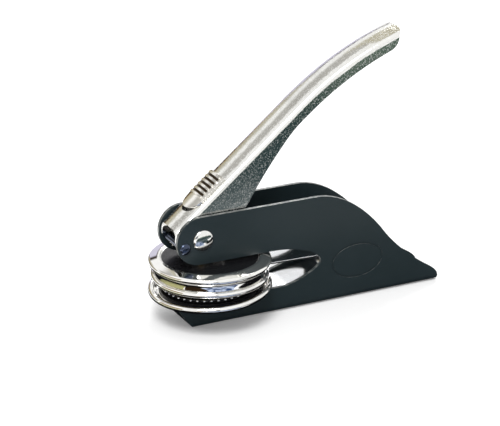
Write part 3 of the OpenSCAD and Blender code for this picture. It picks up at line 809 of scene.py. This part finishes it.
def on_upper(points):
    """From the upper die's own frame: lifted on to the counter, then swung open about the bend."""
    return leaned(on_lower(points + (0, 0, FACE_H)), -OPEN_ANGLE, BEND_MIDDLE)


def turn_on_lathe(name, slot, node, body, profile, place):
    """Turns a closed profile, puts it in its place and lets it stand for the CAD node."""
    points = place(lathe(profile))
    piece = closed_skin(name, slot, points, *points.shape[:2], wrap_rows=True)
    even_normals(piece)
    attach(piece, body)
    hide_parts(node)
    return piece


# %% The cap, with its waist, its round shoulder and the recess in its upper face, painted black as shade
# The painted shade starts above CAP_RECESS_LOW, which keeps it off the underside.
CAP_RECESS, CAP_RECESS_LOW = 19.8, 19.5
cap_profile = np.concatenate([
    eased([(0, 1.5), (22.9, 1.5), (22.9, 1.7)], 0.1)[:-CORNER],
    bezier((22.9, 1.7), (22.85, 3.2), (22.8, 4.9), (24.4, 5.0), 16),
    bezier((24.45, 5.1), (25.2, 5.8), (25.2, 6.9), (24.1, 7.3), 16)[1:],
    eased(
        [(24.1, 7.3), (21.2, 8.1), (20.2, 8.1), (CAP_RECESS, 7.3), (0, 7.3), (0, 1.5)], 0.3
    )[CORNER:-CORNER],
])
cap = turn_on_lathe("turned_cap", "die_chrome", "upper_cap", "upper_die", cap_profile, on_upper)
recess_middle = on_upper(np.array([0, 0, 7.3]))
print("middle of the recess:", recess_middle.round(2))
cap_shaded_well = dict(middle=recess_middle[0], radius=CAP_RECESS - 0.05, low=CAP_RECESS_LOW)
cap.material_slots[0].material = die_plating("cap_chrome", cap_shaded_well)

# %% The die holder, with its rounded ridge
holder_profile = np.concatenate([
    eased([(0, 0.8), (20.5, 0.8), (20.5, -1.3), (22.8, -1.3)], 0.15)[:-CORNER],
    arc((22.8, 0), 1.3, -90, 80, 24),
    eased([(22.8, 1.3), (22.5, 1.42), (22.5, 1.5), (0, 1.5), (0, 0.8)], 0.05)[CORNER:],
])
turn_on_lathe(
    "turned_holder", "die_chrome", "upper_die_holder", "upper_die", holder_profile, on_upper
)

# %% The push boss, with a groove round its middle
boss_profile = eased(
    [(0, 4.3), (3, 4.3), (3, 7.3), (6.2, 7.3), (6.2, 8.0), (5.6, 8.2), (5.6, 8.7), (6.2, 8.9),
     (6.2, 10.3), (0, 10.3)],
    0.2,
)
turn_on_lathe("turned_boss", "die_chrome", "push_boss", "upper_die", boss_profile, on_upper)

# %% The dish, with its rolled rim, its well painted black as shade, and its raised seat
# The tilt carries the middle of the well a little way forward, to DISH_MIDDLE.
DISH_WELL, DISH_WELL_LOW, DISH_MIDDLE = 21.9, 11.2, -0.2
dish_profile = np.concatenate([
    eased([(0, 0), (19.4, 0), (23.0, 0.75), (23.4, 0.9)], 0.4)[:-CORNER],
    arc((24.0, 2.0), 1.3, -115, 205, 48),
    eased(
        [(22.8, 1.45), (DISH_WELL, 1.0), (21.0, 0.9), (20.7, 1.1), (20.7, 2.9), (19.9, 2.9),
         (19.9, 2.6), (0, 2.6), (0, 0)],
        0.15,
    )[:-CORNER],
])
dish = turn_on_lathe("turned_dish", "die_chrome", "lower_dish", "frame", dish_profile, on_lower)
dish_shaded_well = dict(middle=DISH_MIDDLE, radius=DISH_WELL, low=DISH_WELL_LOW)
dish.material_slots[0].material = die_plating("dish_chrome", dish_shaded_well)

# %% [markdown]
# ## Beads and rivets
#
# The ring round the counter is moulded with a row of beads, and each shows one point of light, a glint
# painted by making its upper half bright metal.
# An array of copies of a sphere would do, but the same lathe makes a bead, and adding the places
# of all the beads to it gives them as one array. The rivets are turned too, about a line from
# cheek to cheek: a shank that is hidden, and a low dome at each end.

# %% The counter ring and its beads
ring_profile = eased([(18.3, 2.6), (19.5, 2.6), (19.5, 4.4), (18.3, 4.45)], 0.25)
turn_on_lathe("moulded_ring", "counter_black", "counter_ring", "frame", ring_profile, on_lower)

BEADS, BEAD_RADIUS, BEAD_RING, BEAD_H = 44, 0.55, 19.6, 4.0
bead_top, bead_foot = [(0, BEAD_H + BEAD_RADIUS)], [(0, BEAD_H - BEAD_RADIUS)]
bead_line = np.concatenate([bead_top, arc((0, BEAD_H), BEAD_RADIUS, 75, -75, 8), bead_foot])
bead_ring = lathe(np.array([(BEAD_RING, 0.0)]), BEADS)
bead_points = on_lower(lathe(bead_line, 12)[None] + bead_ring[:, :, None])
beads = closed_skin(
    "ring_beads", "counter_black", bead_points, *bead_points.shape[1:3], wrap_rows=True,
    copies=BEADS, finish=bead_glint(),
)
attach(beads, "frame")

# %% Rivets with domed heads, turned about a line across the cheeks
CHEEK = 9.3


def stud(name, slot, node, centre, shank, head, height, edge):
    """A shank from cheek to cheek between two domed heads.

    A dome is the quarter ellipse (head cos a, edge + (height - edge) sin a) above its cheek.
    """
    dome = arc((0, 0), 1, 0, 90, 12) * (head, height - edge) + (0, CHEEK + edge)
    rim = [(head - 0.1, CHEEK), (head, CHEEK + 0.1)]
    half = np.concatenate([[(shank, 0), (shank, CHEEK)], rim, dome])
    profile = np.concatenate([half[::-1], half[1:] * (1, -1)])
    round_z = lathe(profile, 72)
    points = round_z[..., [0, 2, 1]] + (centre[0], 0, centre[1])
    piece = closed_skin(name, slot, points.transpose(1, 0, 2), *points.shape[1::-1])
    even_normals(piece)
    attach(piece, "frame")
    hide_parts(node)
    return piece


STOP_PIN = np.array([-15.781, 35.312])
stud(
    "turned_pivot_rivet", "rivet_chrome", "pivot_rivet", PIVOT, shank=2.5, head=4.3, height=1.5,
    edge=0.3,
)
stud(
    "turned_stop_pin", "pin_black", "stop_pin", STOP_PIN, shank=1.5, head=2.4, height=1.2,
    edge=0.05,
)

# %% [markdown]
# ## The two springs
#
# The clip that carries the dies is itself the spring that opens them: a strip folded back on
# itself. A torsion spring round the pivot lifts the lever. Both bend when the lever is pressed, so
# they can't be rigid nodes.


# %% A section carried along a path
def sweep(path, section):
    """Sets the section (u, w) at each point of a path: point + u * side + w * lift.

    side is the Y axis made square to the path, and lift is square to both.
    """
    ahead = np.gradient(path, axis=0)
    ahead /= np.linalg.norm(ahead, axis=1, keepdims=True)
    side = np.array([0, 1, 0]) - ahead[:, 1:2] * ahead
    side /= np.linalg.norm(side, axis=1, keepdims=True)
    lift = np.cross(ahead, side)
    u, w = section[None, :, 0, None], section[None, :, 1, None]
    return path[:, None] + u * side[:, None] + w * lift[:, None]


def resampled(path, count):
    """Points at even distances along a line, so that no face is much longer than the next."""
    steps = np.linalg.norm(np.diff(path, axis=0), axis=1)
    run = np.concatenate([[0], np.cumsum(steps)])
    even = np.linspace(0, run[-1], count)
    return np.stack([np.interp(even, run, part) for part in path.T], axis=1)


# %% The folded strip
CLIP_HALF, CLIP_THICK, LEAF_EASE = 7.0, 0.8, 3.0
BEND_START, BEND_END = -79, 88.07
LOWER_LEAF = [(-7.80, 8.10), (18.15, 9.74), (30.69, 9.92), (47.89, 13.27)]
UPPER_LEAF = [(47.32, 20.40), (25.22, 21.14), (-8.28, 20.79)]
strip_line = np.concatenate([
    eased(LOWER_LEAF, LEAF_EASE, closed=False)[:-1],
    arc(BEND_MIDDLE, BEND_RADIUS, BEND_START, BEND_END, 32),
    eased(UPPER_LEAF, LEAF_EASE, closed=False)[1:],
])
strip_line = resampled(strip_line, 260)
strip_path = np.stack([strip_line[:, 0], 0 * strip_line[:, 0], strip_line[:, 1]], axis=1)
square = np.array([(-1, -1), (1, -1), (1, 1), (-1, 1)])
strip_section = eased(square * (CLIP_HALF, CLIP_THICK / 2), 0.2)
strip = sweep(strip_path, strip_section)
clip = closed_skin("folded_clip", "clip_chrome", strip, *strip.shape[:2])
even_normals(clip)
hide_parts("die_clip")
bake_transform(clip)

# %% The wound wire
# One leg ends under the lever's crown and the other below the stop pin, both in millimetres.
WIRE, COIL, TURNS, PITCH, COIL_Y = 0.45, 3.4, 2, 1.025, 3.3
UNDER_CROWN, BELOW_PIN = np.array([22.0, 7.8]), np.array([0.48, -3.2])
slope_cos, slope_sin = math.cos(LEVER_SLOPE), math.sin(LEVER_SLOPE)
leg_up = np.array([[slope_cos, -slope_sin], [slope_sin, slope_cos]]) @ UNDER_CROWN
leg_down = STOP_PIN - PIVOT + BELOW_PIN


def touch(leg, sign):
    """The angle at which the line from a leg's end touches the coil."""
    return math.degrees(math.atan2(leg[1], leg[0]) + sign * math.acos(COIL / np.linalg.norm(leg)))


wound = arc((0, 0), COIL, touch(leg_up, 1), touch(leg_down, -1) + 360 * TURNS, 150)
wire_side = np.linspace(COIL_Y + PITCH * TURNS, COIL_Y, len(wound))
wire_line = np.concatenate([[leg_up], wound, [leg_down]])
wire_y = np.concatenate([wire_side[:1], wire_side, wire_side[-1:]])
wire_path = resampled(
    np.stack([PIVOT[0] + wire_line[:, 0], wire_y, PIVOT[1] + wire_line[:, 1]], axis=1), 320
)
wire = sweep(wire_path, arc((0, 0), WIRE, 0, 337.5, 16))
spring = closed_skin("wound_spring", "spring_steel", wire, *wire.shape[:2])
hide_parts("lever_spring")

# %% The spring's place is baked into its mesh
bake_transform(spring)
